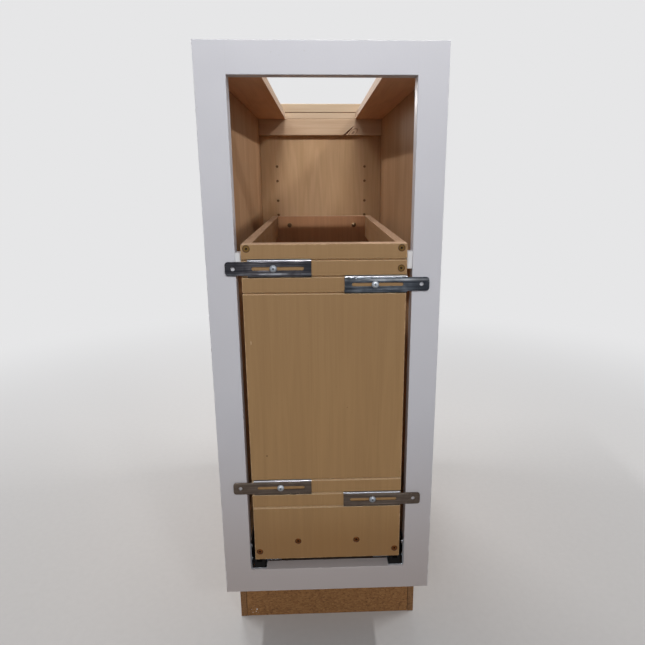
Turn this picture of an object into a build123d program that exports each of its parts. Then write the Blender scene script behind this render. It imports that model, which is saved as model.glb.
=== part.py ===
from build123d import *

import os

# A narrow framed base cabinet with a pull-out for a trash bin, which runs on undermount slides.
# Four adjustable steel brackets on the pull-out's front take the door.
#
# Millimetres.  +X is to the right, +Y runs into the cabinet and +Z is up.  The origin is on the
# floor, under the middle of the whole object.  Most pieces are the same on both sides, so they
# are drawn once on the right and mirrored.

# ---- Cabinet ---------------------------------------------------------------------------------
cabinet_width = 304.8
cabinet_height = 876.3
cabinet_depth = 609.6
toe_height = 114.3
toe_recess = 76.2
frame_member = 38.1                 # width of each stile and rail of the face frame
frame_thickness = 19.05
frame_overhang = 6.35               # face frame standing out past each side panel
side_thickness = 9.525
side_tongue = 6.35                  # side panel let into the back of the stile
housing_depth = 4.8                 # groove in a side panel for the floor and the back panel
floor_thickness = 12.7
floor_front_gap = 2.2               # between the face frame and the floor panel
back_thickness = 6.1
kick_thickness = 12.7
dowel_radius = 4.0
dowel_reach = 19.5                  # dowel length in each of the two pieces it joins
dowel_spacing = 17.0

# ---- Ties under the worktop ------------------------------------------------------------------
gusset_thickness = 12.7
gusset_width = 59.0
tie_depth = 19.05                   # the three boards across the back of the top
top_strip_height = 19.05
nailer_height = 34.1

# ---- Holes for slide brackets in the back panel ----------------------------------------------
back_hole_radius = 2.3
back_hole_inset = 36.3              # from the side panel's inner face
back_hole_pitch = 32.0
back_hole_drops = (241.3, 164.8)    # lower row of each group of four, down from the top

# ---- Pull-out box ----------------------------------------------------------------------------
panel_side_gap = 7.3                # between the pull-out and each stile
panel_rise = 18.7                   # front panel above the cabinet floor
panel_height = 467.1
panel_thickness = 19.05
panel_proud = 0.8                   # front panel standing out of the face frame
edge_radius = 0.8                   # eased edges of the front panel and the face frame
pullout_rear_gap = 82.5             # between the rear panel and the back panel
rail_thickness = 12.7               # side rails, bottom board and rear panel
rail_height = 44.4
lower_rail_rise = 0.4               # lower side rails above the front panel's lower edge
notch_fit = 3.0                     # around the slides, in the rear panel's notches

# ---- Kerfs and door brackets -----------------------------------------------------------------
kerf_width = 3.2
kerf_depth = 6.4
kerf_pitch = 21.8
lower_kerf_rise = 108.4             # middle kerf of the lower group above the panel's lower edge
upper_kerf_drop = 42.2              # middle kerf of the upper group below the panel's top edge
bracket_sheet = 1.4
bracket_length = 111.0
bracket_body_length = 82.0
bracket_flange = 5.0                # flange turned back into the kerf
bracket_bend_radius = 2.0
tab_height = 18.0
tab_corner_radius = 4.0
tab_hole_radius = 2.75
tab_hole_inset = 10.0
slot_width = 4.8
slot_length = 67.5
slot_inset = 9.5                    # from the bracket's inner end
slide_fit = 0.15                    # between a bracket and what it slides on
bracket_screw_inset = 41.0          # from the front panel's side
bracket_set = {                     # how far each bracket's inner end reaches past its screw
    "upper_left": 49.1,
    "upper_right": 40.1,
    "lower_left": 44.0,
    "lower_right": 42.0,
}

# ---- Screws ----------------------------------------------------------------------------------
hole_fit = 0.1                      # radial clearance of a hole over its dowel, screw or ball
sink_depth = 0.3                    # countersunk head set below the wood
wood_head_radius = 4.1
wood_shank_radius = 2.0
wood_screw_length = 42.0
rail_screw_inset = 7.2              # from the front panel's side
upper_rail_screw_drops = (32.2, 5.9)  # from the front panel's top edge
lower_rail_screw_rise = 13.2        # from the front panel's lower edge
board_screw_spacing = 86.0
pan_head_radius = 4.75
pan_head_height = 2.8
pan_shank_radius = 2.0
bracket_screw_length = 16.0
rear_screw_inset = 37.0             # from the rear panel's side
rear_screw_drop = 19.2              # from the rear panel's top edge
rear_screw_length = 10.0
small_head_radius = 3.2
small_head_height = 1.6
small_shank_radius = 1.6
drive_depth = 1.1                   # cross recess in a screw head
drive_width = 0.9
drive_share = 0.9                   # recess length over the head's radius
crown_share = 0.5                   # radius of a domed head's flat crown over the head's radius
dome_share = (0.87, 0.66)           # point on the dome, over the head's radius and height
rim_share = 0.12                    # height of a domed head's rim over the head's height

# ---- Plastic side guides ---------------------------------------------------------------------
guide_fit = 0.6                     # between a guide and the pull-out
guide_setback = 2.0                 # from the face frame's front
guide_depth = 16.5
guide_drop = 11.2                   # guide's top below the pull-out's top
guide_height = 22.0
guide_nose_radius = 2.5
guide_screw_length = 15.0

# ---- Undermount slides -----------------------------------------------------------------------
sheet = 1.5                         # steel of the three slide members
slide_setback = 3.0                 # from the face frame's front
slide_rear_gap = 67.1               # between the slide and the back panel
slide_stack_height = 41.9           # cabinet floor to the pull-out's bottom board
slide_flange_height = 44.6
race_offset = 22.8                  # from the stile's edge to the race's outer inside face
race_width = 20.0
race_lip_height = 19.6              # height of a race's lips over its web's outer face
ball_gap = 3.5
ball_radius = 1.55
ball_pitch = 25.0
balls_per_row = 8
cage_sheet = 1.0
cage_lip_gap = 2.0                  # cage stopping short of its race's lip
side_ball_drop = 6.2                # side balls below the cage's edge
lower_cage_setback = 177.0          # from the slide's front end
upper_cage_setback = 147.0
moving_setback = 2.95               # moving members behind the front panel
middle_rear_gap = 6.4               # middle member short of the slide's rear end
flange_screw_setback = 7.0          # from the slide's front end
flange_screw_rises = (13.6, 35.6)   # from the cabinet floor
floor_screw_offset = 11.8           # from the stile's edge
floor_screw_inset = 110.0           # from the slide's two ends
small_screw_length = 12.5
board_fixing_inset = 25.0           # from the board slide's two ends
board_fixing_length = 11.0
board_fixing_head_radius = 2.9
screws_per_slide = 3
cap_fit = 0.2                       # between a cap and the race's outer lip
cap_width = 17.0
cap_height = 16.0
cap_length = 39.0
cap_corner_radius = 2.5
cap_slot_width = 8.0
cap_slot_height = 6.0
cap_slot_depth = 12.0

# ---- Planes and levels worked out from the sizes above ---------------------------------------
bracket_proud = panel_proud + 2 * slide_fit + bracket_sheet + pan_head_height
front = (bracket_proud - cabinet_depth) / 2      # front plane of the face frame
back = front + cabinet_depth
frame_back = front + frame_thickness
frame_outer = cabinet_width / 2
frame_inner = frame_outer - frame_member
side_outer = frame_outer - frame_overhang
side_inner = side_outer - side_thickness
back_panel_front = back - back_thickness
tie_front = back_panel_front - tie_depth
floor_top = toe_height + frame_member
floor_base = floor_top - floor_thickness
strip_base = cabinet_height - top_strip_height
gusset_base = strip_base - gusset_thickness
nailer_base = gusset_base - nailer_height

gusset_inner = side_inner - gusset_width

panel_half = frame_inner - panel_side_gap
panel_bottom = floor_top + panel_rise
panel_top = panel_bottom + panel_height
panel_front = front - panel_proud
panel_back = panel_front + panel_thickness
rear_face = back_panel_front - pullout_rear_gap
rear_inner_face = rear_face - rail_thickness
rail_inner = panel_half - rail_thickness
upper_rail_base = panel_top - rail_height
lower_rail_base = panel_bottom + lower_rail_rise
board_base = floor_top + slide_stack_height
board_top = board_base + rail_thickness

plate_back = panel_front - slide_fit
plate_front = plate_back - bracket_sheet
bracket_screw_x = panel_half - bracket_screw_inset
lower_kerf = panel_bottom + lower_kerf_rise
upper_kerf = panel_top - upper_kerf_drop
kerf_levels = [
    middle + step * kerf_pitch for middle in (lower_kerf, upper_kerf) for step in (-1, 0, 1)
]
bracket_levels = {                  # each bracket's flanges sit in two kerfs next to each other
    "upper_left": upper_kerf + kerf_pitch / 2,
    "upper_right": upper_kerf - kerf_pitch / 2,
    "lower_left": lower_kerf + kerf_pitch / 2,
    "lower_right": lower_kerf - kerf_pitch / 2,
}

slide_front = front + slide_setback
slide_back = back_panel_front - slide_rear_gap
moving_front = panel_back + moving_setback
middle_back = slide_back - middle_rear_gap
race_outer = frame_inner - race_offset
race_inner = race_outer - race_width
race_middle = (race_inner + race_outer) / 2
web_top = floor_top + sheet
board_web_base = board_base - sheet
bar_base = web_top + ball_gap
bar_top = board_web_base - ball_gap
bar_middle = (bar_base + bar_top) / 2
cage_top = floor_top + race_lip_height - cage_lip_gap
side_ball_level = cage_top - side_ball_drop
web_ball_level = web_top + ball_gap / 2

INTO = (0, 1, 0)
OUT = (0, -1, 0)
UP = (0, 0, 1)
DOWN = (0, 0, -1)
RIGHT = (1, 0, 0)
LEFT = (-1, 0, 0)


# ---- Small tools -----------------------------------------------------------------------------
def block(left, right, near, far, low, high, mode=Mode.ADD):
    """Add or cut a rectangular block in the open part, given by its six faces."""
    with Locations(((left + right) / 2, (near + far) / 2, (low + high) / 2)):
        Box(right - left, far - near, high - low, mode=mode)


def patch(left, right, low, high):
    """Add a rectangle to the open sketch, given by its four edges."""
    with Locations(((left + right) / 2, (low + high) / 2)):
        Rectangle(right - left, high - low)


def section(depth):
    """The upright plane across the cabinet at this depth; a negative extrusion runs inwards."""
    return Plane.XZ.offset(-depth)


def facing(place, direction):
    """A plane at a place on a surface that faces in the given direction."""
    return Plane(origin=place, z_dir=direction)


def write(piece, name):
    """Label a finished piece and write it to its own file."""
    piece.part.label = name
    export_step(piece.part, f"parts/{name}.step")


def write_pair(right_piece, name):
    """Write a right-hand piece and its mirror image, the left-hand one."""
    with BuildPart() as left_piece:
        mirror(right_piece.part, about=Plane.YZ)
    write(right_piece, f"right_{name}")
    write(left_piece, f"left_{name}")


def screw(head_radius, head_height, shank_radius, length, domed):
    """A screw down -Z with a cross recess; a domed head stands on the surface at the origin."""
    crown = head_height if domed else 0
    crown_radius = crown_share * head_radius
    rim = (head_radius, crown * rim_share)
    dome = (head_radius * dome_share[0], crown * dome_share[1])
    shank_end = (shank_radius, shank_radius - length)
    with BuildPart() as piece:
        with BuildSketch(Plane.XZ):
            with BuildLine():
                if domed:
                    Line((0, crown), (crown_radius, crown))
                    ThreePointArc((crown_radius, crown), dome, rim)
                    Polyline(rim, (head_radius, 0), (shank_radius, 0), shank_end)
                else:
                    Polyline((0, 0), (head_radius, 0), (shank_radius, -head_height), shank_end)
                Polyline(shank_end, (0, -length), (0, crown))
            make_face()
        revolve(axis=Axis.Z)
        with BuildSketch(Plane.XY.offset(crown)):
            Rectangle(drive_share * head_radius, drive_width)
            Rectangle(drive_width, drive_share * head_radius)
        extrude(amount=-drive_depth, mode=Mode.SUBTRACT)
    return piece.part


def place_screws(shape, planes):
    """Put one copy of a screw on each of the planes, in the open part."""
    with Locations(*planes):
        add(shape)


os.makedirs("parts", exist_ok=True)

# ---- Face frame ------------------------------------------------------------------------------
frame_middle = front + frame_thickness / 2
rail_bases = {"bottom_rail": toe_height, "top_rail": cabinet_height - frame_member}
dowel_levels = [
    base + frame_member / 2 + step * dowel_spacing / 2
    for base in rail_bases.values()
    for step in (-1, 1)
]
guide_top = panel_top - guide_drop
guide_base = guide_top - guide_height
guide_front = front + guide_setback
guide_back = guide_front + guide_depth
guide_inner = panel_half + guide_fit
guide_screw_plane = facing(
    (guide_inner, (guide_front + guide_back) / 2, (guide_base + guide_top) / 2), LEFT
)
flange_screw_planes = [
    facing((frame_inner - sheet, slide_front + flange_screw_setback, floor_top + rise), LEFT)
    for rise in flange_screw_rises
]

with BuildPart() as stile:
    block(frame_inner, frame_outer, front, frame_back, toe_height, cabinet_height)
    front_edges = stile.edges().filter_by(Axis.Z).sort_by(Axis.Y)[:2]
    fillet(front_edges.sort_by(Axis.X)[-1], edge_radius)
    block(
        side_inner, side_outer, frame_back - side_tongue, frame_back, toe_height, cabinet_height,
        mode=Mode.SUBTRACT,
    )
    with Locations(*[facing((frame_inner, frame_middle, level), LEFT) for level in dowel_levels]):
        Hole(dowel_radius + hole_fit, dowel_reach + hole_fit)
    with Locations(guide_screw_plane):
        Hole(small_shank_radius + hole_fit, guide_screw_length + hole_fit)
    with Locations(*flange_screw_planes):
        Hole(small_shank_radius + hole_fit, small_screw_length + hole_fit)
write_pair(stile, "stile")

for name, base in rail_bases.items():
    with BuildPart() as rail:
        block(-frame_inner, frame_inner, front, frame_back, base, base + frame_member)
        for side, outwards in ((-1, LEFT), (1, RIGHT)):
            for step in (-1, 1):
                level = base + frame_member / 2 + step * dowel_spacing / 2
                with Locations(facing((side * frame_inner, frame_middle, level), outwards)):
                    Hole(dowel_radius + hole_fit, dowel_reach + hole_fit)
    write(rail, name)

with BuildPart() as frame_dowels:
    for side in (-1, 1):
        for level in dowel_levels:
            with Locations(facing((side * frame_inner, frame_middle, level), RIGHT)):
                Cylinder(dowel_radius, 2 * dowel_reach)
write(frame_dowels, "frame_dowels")

# ---- Side panels, back, floor and toe kick ---------------------------------------------------
housing_face = side_inner + housing_depth
kick_front = front + toe_recess
floor_screw_x = frame_inner - floor_screw_offset
floor_screw_run = slide_back - slide_front - 2 * floor_screw_inset
floor_screw_depths = [
    slide_front + floor_screw_inset + floor_screw_run * n / (screws_per_slide - 1)
    for n in range(screws_per_slide)
]
back_hole_x = side_inner - back_hole_inset
back_hole_places = [
    (x, cabinet_height - drop + step * back_hole_pitch)
    for x in (-back_hole_x, back_hole_x)
    for drop in back_hole_drops
    for step in (0, 1)
]

with BuildPart() as side_panel:
    with BuildSketch(Plane.YZ.offset(side_inner)):
        with BuildLine():
            Polyline(
                (frame_back - side_tongue, cabinet_height),
                (back, cabinet_height),
                (back, 0),
                (kick_front, 0),
                (kick_front, toe_height),
                (frame_back - side_tongue, toe_height),
                close=True,
            )
        make_face()
    extrude(amount=side_thickness)
    block(side_inner, housing_face, frame_back, back, floor_base, floor_top, mode=Mode.SUBTRACT)
    block(
        side_inner, housing_face, back_panel_front, back, 0, cabinet_height, mode=Mode.SUBTRACT
    )
write_pair(side_panel, "side_panel")

with BuildPart() as back_panel:
    block(-housing_face, housing_face, back_panel_front, back, 0, cabinet_height)
    with Locations(*[facing((x, back_panel_front, z), OUT) for x, z in back_hole_places]):
        Hole(back_hole_radius)
write(back_panel, "back_panel")

with BuildPart() as floor_panel:
    floor_front = frame_back + floor_front_gap
    block(-housing_face, housing_face, floor_front, back_panel_front, floor_base, floor_top)
    for side in (-1, 1):
        for depth in floor_screw_depths:
            with Locations(facing((side * floor_screw_x, depth, floor_top), UP)):
                Hole(small_shank_radius + hole_fit)
write(floor_panel, "floor_panel")

with BuildPart() as toe_kick:
    block(-side_inner, side_inner, kick_front, kick_front + kick_thickness, 0, floor_base)
write(toe_kick, "toe_kick")

# ---- Gussets and the three boards across the back of the top ---------------------------------
with BuildPart() as gusset:
    block(gusset_inner, side_inner, frame_back, tie_front, gusset_base, strip_base)
write_pair(gusset, "gusset")

with BuildPart() as back_nailer:
    block(-side_inner, side_inner, tie_front, back_panel_front, nailer_base, gusset_base)
write(back_nailer, "back_nailer")

with BuildPart() as rear_tie:
    block(-side_inner, side_inner, tie_front, back_panel_front, gusset_base, strip_base)
write(rear_tie, "rear_tie")

with BuildPart() as top_strip:
    block(-side_inner, side_inner, tie_front, back_panel_front, strip_base, cabinet_height)
write(top_strip, "top_strip")

# ---- Side guides on the stiles ---------------------------------------------------------------
with BuildPart() as side_guide:
    block(guide_inner, frame_inner, guide_front, guide_back, guide_base, guide_top)
    nose_edges = side_guide.edges().filter_by(Axis.Z).sort_by(Axis.X)[:2]
    fillet(nose_edges, guide_nose_radius)
    with Locations(guide_screw_plane):
        CounterSinkHole(
            small_shank_radius + hole_fit,
            small_head_radius + hole_fit + sink_depth,
            counter_sink_angle=90,
        )
write_pair(side_guide, "side_guide")

guide_screw = screw(
    small_head_radius,
    small_head_radius - small_shank_radius,
    small_shank_radius,
    guide_screw_length - sink_depth,
    domed=False,
)
with BuildPart() as guide_screws:
    place_screws(guide_screw, [guide_screw_plane.offset(-sink_depth)])
    mirror(about=Plane.YZ)
write(guide_screws, "guide_screws")

# ---- Slide members fixed to the cabinet ------------------------------------------------------
floor_screw_planes = [facing((floor_screw_x, depth, web_top), UP) for depth in floor_screw_depths]

with BuildPart() as cabinet_slide:
    with BuildSketch(section(slide_front)):
        patch(race_outer, frame_inner, floor_top, web_top)
        patch(frame_inner - sheet, frame_inner, floor_top, floor_top + slide_flange_height)
    extrude(amount=slide_front - slide_back)
    with BuildSketch(section(moving_front)):
        patch(race_inner - sheet, race_outer, floor_top, web_top)
        patch(race_inner - sheet, race_inner, floor_top, floor_top + race_lip_height)
        patch(race_outer, race_outer + sheet, floor_top, floor_top + race_lip_height)
    extrude(amount=moving_front - slide_back)
    with Locations(*flange_screw_planes, *floor_screw_planes):
        Hole(small_shank_radius + hole_fit, 2 * sheet)
write_pair(cabinet_slide, "cabinet_slide")

small_screw = screw(
    small_head_radius, small_head_height, small_shank_radius, small_screw_length, domed=True
)
with BuildPart() as slide_screws:
    place_screws(small_screw, flange_screw_planes + floor_screw_planes)
    mirror(about=Plane.YZ)
write(slide_screws, "slide_screws")

cap_inner = race_outer + sheet + cap_fit
cap_outer = cap_inner + cap_width
cap_middle = (cap_inner + cap_outer) / 2
cap_top = web_top + cap_height
with BuildPart() as slide_cap:
    block(cap_inner, cap_outer, slide_front, slide_front + cap_length, web_top, cap_top)
    fillet(slide_cap.edges().filter_by(Axis.Z).sort_by(Axis.Y)[:2], cap_corner_radius)
    block(
        cap_middle - cap_slot_width / 2, cap_middle + cap_slot_width / 2,
        slide_front, slide_front + cap_slot_depth,
        cap_top - cap_slot_height, cap_top,
        mode=Mode.SUBTRACT,
    )
write_pair(slide_cap, "slide_cap")

# ---- Middle slide members, ball cages and balls ----------------------------------------------
bar_inner = race_inner + ball_gap
bar_outer = race_outer - ball_gap
with BuildPart() as middle_slide:
    with BuildSketch(section(moving_front)):
        patch(bar_inner, bar_outer, bar_base, bar_top)
    extrude(amount=moving_front - middle_back)
    with BuildSketch(section(moving_front)):
        patch(bar_inner + sheet, bar_outer - sheet, bar_base + sheet, bar_top - sheet)
    extrude(amount=moving_front - middle_back, mode=Mode.SUBTRACT)
write_pair(middle_slide, "middle_slide")

cage_half = cage_sheet / 2
cage_inner = race_inner + ball_gap / 2
cage_outer = race_outer - ball_gap / 2
cage_base = web_ball_level - cage_half
cage_length = ball_pitch * balls_per_row
for race, setback in (("lower", lower_cage_setback), ("upper", upper_cage_setback)):
    cage_front = slide_front + setback
    ball_depths = [cage_front + ball_pitch * (n + 0.5) for n in range(balls_per_row)]
    with BuildPart() as cage:
        with BuildSketch(section(cage_front)):
            patch(cage_inner - cage_half, cage_outer + cage_half, cage_base, cage_base + cage_sheet)
            patch(cage_inner - cage_half, cage_inner + cage_half, cage_base, cage_top)
            patch(cage_outer - cage_half, cage_outer + cage_half, cage_base, cage_top)
        extrude(amount=-cage_length)
        for depth in ball_depths:
            with Locations(
                facing((cage_inner, depth, side_ball_level), RIGHT),
                facing((cage_outer, depth, side_ball_level), RIGHT),
                facing((race_middle, depth, web_ball_level), UP),
            ):
                Cylinder(ball_radius + hole_fit, 2 * cage_sheet, mode=Mode.SUBTRACT)
        if race == "upper":
            mirror(about=Plane.XY.offset(bar_middle), mode=Mode.REPLACE)
    write_pair(cage, f"{race}_cage")

    with BuildPart() as balls:
        for depth in ball_depths:
            with Locations(
                (cage_inner, depth, side_ball_level),
                (cage_outer, depth, side_ball_level),
                (race_middle, depth, web_ball_level),
            ):
                Sphere(ball_radius)
        if race == "upper":
            mirror(about=Plane.XY.offset(bar_middle), mode=Mode.REPLACE)
    write_pair(balls, f"{race}_balls")

# ---- Pull-out box ----------------------------------------------------------------------------
rail_screw_x = panel_half - rail_screw_inset
board_screw_x = board_screw_spacing / 2
board_screw_level = (board_base + board_top) / 2
rail_screw_levels = {
    "upper_rail": [panel_top - drop for drop in upper_rail_screw_drops],
    "lower_rail": [panel_bottom + lower_rail_screw_rise],
}
panel_screw_places = [(side * board_screw_x, board_screw_level) for side in (-1, 1)]
for levels in rail_screw_levels.values():
    panel_screw_places += [(side * rail_screw_x, level) for side in (-1, 1) for level in levels]
front_screw_planes = [facing((x, panel_front, z), OUT) for x, z in panel_screw_places]
rear_screw_planes = [facing((x, rear_face, z), INTO) for x, z in panel_screw_places]
bracket_screw_planes = [
    facing((side * bracket_screw_x, plate_front - slide_fit, bracket_levels[name]), OUT)
    for name, side in (
        ("upper_left", -1), ("upper_right", 1), ("lower_left", -1), ("lower_right", 1)
    )
]
rear_panel_screw_planes = [
    facing((side * (panel_half - rear_screw_inset), rear_inner_face, panel_top - rear_screw_drop), OUT)
    for side in (-1, 1)
]

with BuildPart() as front_panel:
    block(-panel_half, panel_half, panel_front, panel_back, panel_bottom, panel_top)
    fillet(front_panel.faces().sort_by(Axis.Y)[0].edges(), edge_radius)
    for level in kerf_levels:
        block(
            -panel_half, panel_half,
            panel_front, panel_front + kerf_depth,
            level - kerf_width / 2, level + kerf_width / 2,
            mode=Mode.SUBTRACT,
        )
    with Locations(*front_screw_planes):
        CounterSinkHole(
            wood_shank_radius + hole_fit,
            wood_head_radius + hole_fit + sink_depth,
            depth=2 * panel_thickness,
            counter_sink_angle=90,
        )
    with Locations(*bracket_screw_planes):
        Hole(pan_shank_radius + hole_fit, bracket_screw_length + hole_fit)
write(front_panel, "front_panel")

with BuildPart() as rear_panel:
    block(-panel_half, panel_half, rear_inner_face, rear_face, panel_bottom, panel_top)
    notch_inner = race_inner - sheet - notch_fit
    for left, right in ((-rail_inner, -notch_inner), (notch_inner, rail_inner)):
        block(
            left, right, rear_inner_face, rear_face, panel_bottom, board_base, mode=Mode.SUBTRACT
        )
    with Locations(*rear_screw_planes):
        CounterSinkHole(
            wood_shank_radius + hole_fit,
            wood_head_radius + hole_fit + sink_depth,
            depth=2 * rail_thickness,
            counter_sink_angle=90,
        )
    with Locations(*rear_panel_screw_planes):
        Hole(pan_shank_radius + hole_fit, rear_screw_length + hole_fit)
write(rear_panel, "rear_panel")

front_pilot = wood_screw_length - panel_thickness + hole_fit
rear_pilot = wood_screw_length - rail_thickness + hole_fit
for name, base in (("upper_rail", upper_rail_base), ("lower_rail", lower_rail_base)):
    with BuildPart() as side_rail:
        block(rail_inner, panel_half, panel_back, rear_inner_face, base, base + rail_height)
        for level in rail_screw_levels[name]:
            with Locations(facing((rail_screw_x, panel_back, level), OUT)):
                Hole(wood_shank_radius + hole_fit, front_pilot)
            with Locations(facing((rail_screw_x, rear_inner_face, level), INTO)):
                Hole(wood_shank_radius + hole_fit, rear_pilot)
    write_pair(side_rail, name)

board_fixing_run = rear_inner_face - moving_front - 2 * board_fixing_inset
board_fixing_planes = [
    facing(
        (
            side * race_middle,
            moving_front + board_fixing_inset + board_fixing_run * n / (screws_per_slide - 1),
            board_web_base,
        ),
        DOWN,
    )
    for side in (1, -1)
    for n in range(screws_per_slide)
]
with BuildPart() as bottom_board:
    block(-rail_inner, rail_inner, panel_back, rear_inner_face, board_base, board_top)
    for side in (-1, 1):
        with Locations(facing((side * board_screw_x, panel_back, board_screw_level), OUT)):
            Hole(wood_shank_radius + hole_fit, front_pilot)
        with Locations(facing((side * board_screw_x, rear_inner_face, board_screw_level), INTO)):
            Hole(wood_shank_radius + hole_fit, rear_pilot)
    with Locations(*board_fixing_planes):
        Hole(small_shank_radius + hole_fit, board_fixing_length + hole_fit)
write(bottom_board, "bottom_board")

wood_screw = screw(
    wood_head_radius,
    wood_head_radius - wood_shank_radius,
    wood_shank_radius,
    wood_screw_length - sink_depth,
    domed=False,
)
for name, planes in (
    ("front_wood_screws", front_screw_planes), ("rear_wood_screws", rear_screw_planes)
):
    with BuildPart() as wood_screws:
        place_screws(wood_screw, [plane.offset(-sink_depth) for plane in planes])
    write(wood_screws, name)

bracket_screw = screw(
    pan_head_radius, pan_head_height, pan_shank_radius, bracket_screw_length, domed=True
)
with BuildPart() as bracket_screws:
    place_screws(bracket_screw, bracket_screw_planes)
write(bracket_screws, "bracket_screws")

rear_panel_screw = screw(
    pan_head_radius, pan_head_height, pan_shank_radius, rear_screw_length, domed=True
)
with BuildPart() as rear_panel_screws:
    place_screws(rear_panel_screw, rear_panel_screw_planes)
write(rear_panel_screws, "rear_panel_screws")

# ---- Slide members under the pull-out --------------------------------------------------------
with BuildPart() as board_slide:
    lip_base = board_base - race_lip_height
    with BuildSketch(section(moving_front)):
        patch(race_inner - sheet, race_outer + sheet, board_web_base, board_base)
        patch(race_inner - sheet, race_inner, lip_base, board_base)
        patch(race_outer, race_outer + sheet, lip_base, board_base)
    extrude(amount=moving_front - rear_inner_face)
    with Locations(*board_fixing_planes[:screws_per_slide]):
        CounterSinkHole(
            small_shank_radius + hole_fit,
            board_fixing_head_radius + hole_fit,
            depth=2 * sheet,
            counter_sink_angle=90,
        )
write_pair(board_slide, "board_slide")

board_fixing = screw(
    board_fixing_head_radius,
    board_fixing_head_radius - small_shank_radius,
    small_shank_radius,
    board_fixing_length,
    domed=False,
)
with BuildPart() as board_slide_screws:
    place_screws(board_fixing, board_fixing_planes)
write(board_slide_screws, "board_slide_screws")

# ---- Door brackets ---------------------------------------------------------------------------
for name, reach in bracket_set.items():
    level = bracket_levels[name]
    inner_end = bracket_screw_x - reach
    body_end = inner_end + bracket_body_length
    outer_end = inner_end + bracket_length
    body_top = level + (kerf_pitch + bracket_sheet) / 2
    body_base = level - (kerf_pitch + bracket_sheet) / 2
    flange_end = plate_back + bracket_flange
    with BuildPart() as bracket:
        with BuildSketch(Plane.YZ.offset(inner_end)):
            patch(plate_front, plate_back, body_base, body_top)
            patch(plate_front, flange_end, body_top - bracket_sheet, body_top)
            patch(plate_front, flange_end, body_base, body_base + bracket_sheet)
        extrude(amount=bracket_body_length)
        bends = bracket.edges().filter_by(Axis.X).group_by(Axis.Y)[0]
        fillet(bends, bracket_bend_radius)
        with BuildSketch(section(plate_front)):
            with Locations(((body_end + outer_end) / 2, level)):
                RectangleRounded(outer_end - body_end, tab_height, tab_corner_radius)
            patch(
                body_end - tab_corner_radius, body_end + tab_corner_radius,
                level - tab_height / 2, level + tab_height / 2,
            )
        extrude(amount=-bracket_sheet)
        with BuildSketch(section(plate_front)):
            with Locations((inner_end + slot_inset + slot_length / 2, level)):
                SlotOverall(slot_length, slot_width)
            with Locations((outer_end - tab_hole_inset, level)):
                Circle(tab_hole_radius)
        extrude(amount=-bracket_sheet, mode=Mode.SUBTRACT)
        if name.endswith("left"):
            mirror(about=Plane.YZ, mode=Mode.REPLACE)
    write(bracket, f"{name}_bracket")
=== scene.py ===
import math

import bmesh
import bpy
from mathutils import Matrix, Vector, noise


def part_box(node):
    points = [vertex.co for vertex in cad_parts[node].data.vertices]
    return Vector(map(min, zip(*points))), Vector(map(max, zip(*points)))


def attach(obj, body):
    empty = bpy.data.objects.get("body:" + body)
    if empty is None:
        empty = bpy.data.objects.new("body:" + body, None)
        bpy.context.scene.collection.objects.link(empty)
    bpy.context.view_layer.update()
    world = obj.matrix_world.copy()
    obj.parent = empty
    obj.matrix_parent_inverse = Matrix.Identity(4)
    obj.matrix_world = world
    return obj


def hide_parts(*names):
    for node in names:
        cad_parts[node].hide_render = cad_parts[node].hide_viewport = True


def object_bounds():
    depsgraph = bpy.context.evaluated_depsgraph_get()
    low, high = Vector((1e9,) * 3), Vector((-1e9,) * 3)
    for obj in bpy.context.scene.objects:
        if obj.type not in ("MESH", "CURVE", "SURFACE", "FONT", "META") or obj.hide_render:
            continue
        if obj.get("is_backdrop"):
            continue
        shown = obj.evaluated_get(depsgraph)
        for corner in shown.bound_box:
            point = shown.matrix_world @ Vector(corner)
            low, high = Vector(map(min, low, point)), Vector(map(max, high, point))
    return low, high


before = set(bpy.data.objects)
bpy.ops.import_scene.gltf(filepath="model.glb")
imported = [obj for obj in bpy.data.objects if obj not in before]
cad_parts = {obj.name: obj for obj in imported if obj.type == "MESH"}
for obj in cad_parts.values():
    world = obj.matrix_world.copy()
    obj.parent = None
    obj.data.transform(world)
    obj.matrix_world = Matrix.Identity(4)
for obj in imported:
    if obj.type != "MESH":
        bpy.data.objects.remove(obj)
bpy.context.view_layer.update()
scene = bpy.context.scene
scene.view_settings.view_transform = "Standard"

# ---- Viewpoint ----
# The cabinet is looked at from the front, from a little below its top, with the lens tipped
# down. The image is 645 pixels square.
image_width = 645
focal_pixels = 549.22
image_centre = (340.51, 320.27)
eye = Vector((-0.006757, -1.006907, 0.721253))
right = Vector((0.99921842, -0.0394156, -0.00299317))
up = Vector((0.01287052, 0.25281324, 0.96742949))

lens = bpy.data.cameras.new("viewpoint")
lens.sensor_width = 36
lens.lens = focal_pixels / image_width * lens.sensor_width
lens.shift_x = 0.5 - image_centre[0] / image_width
lens.shift_y = image_centre[1] / image_width - 0.5
lens.clip_start = 0.02
viewpoint = bpy.data.objects.new("viewpoint", lens)
turn = Matrix((right, up, right.cross(up))).transposed().to_4x4()
viewpoint.matrix_world = Matrix.Translation(eye) @ turn
scene.collection.objects.link(viewpoint)
scene.camera = viewpoint


# ---- Floor and light ----
# A plain pale floor keeps the shadow and fades into a plain pale surround. Ceiling panels light
# the inside from above, three narrow room lamps light the front, more so towards the top, and a
# lamp behind lights the back.
def add_node(tree, kind, inputs=None, **settings):
    """A node with its settings made and its inputs set or joined."""
    node = tree.nodes.new("ShaderNode" + kind)
    for name, value in settings.items():
        setattr(node, name, value)
    for name, value in (inputs or {}).items():
        if isinstance(value, bpy.types.NodeSocket):
            tree.links.new(value, node.inputs[name])
        else:
            node.inputs[name].default_value = value
    return node


def tint(red, green, blue):
    """A colour as a paint chart gives it, from 0 to 255."""
    parts = [c / 255 for c in (red, green, blue)]
    return (*[c / 12.92 if c <= 0.04045 else ((c + 0.055) / 1.055) ** 2.4 for c in parts], 1)


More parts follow.
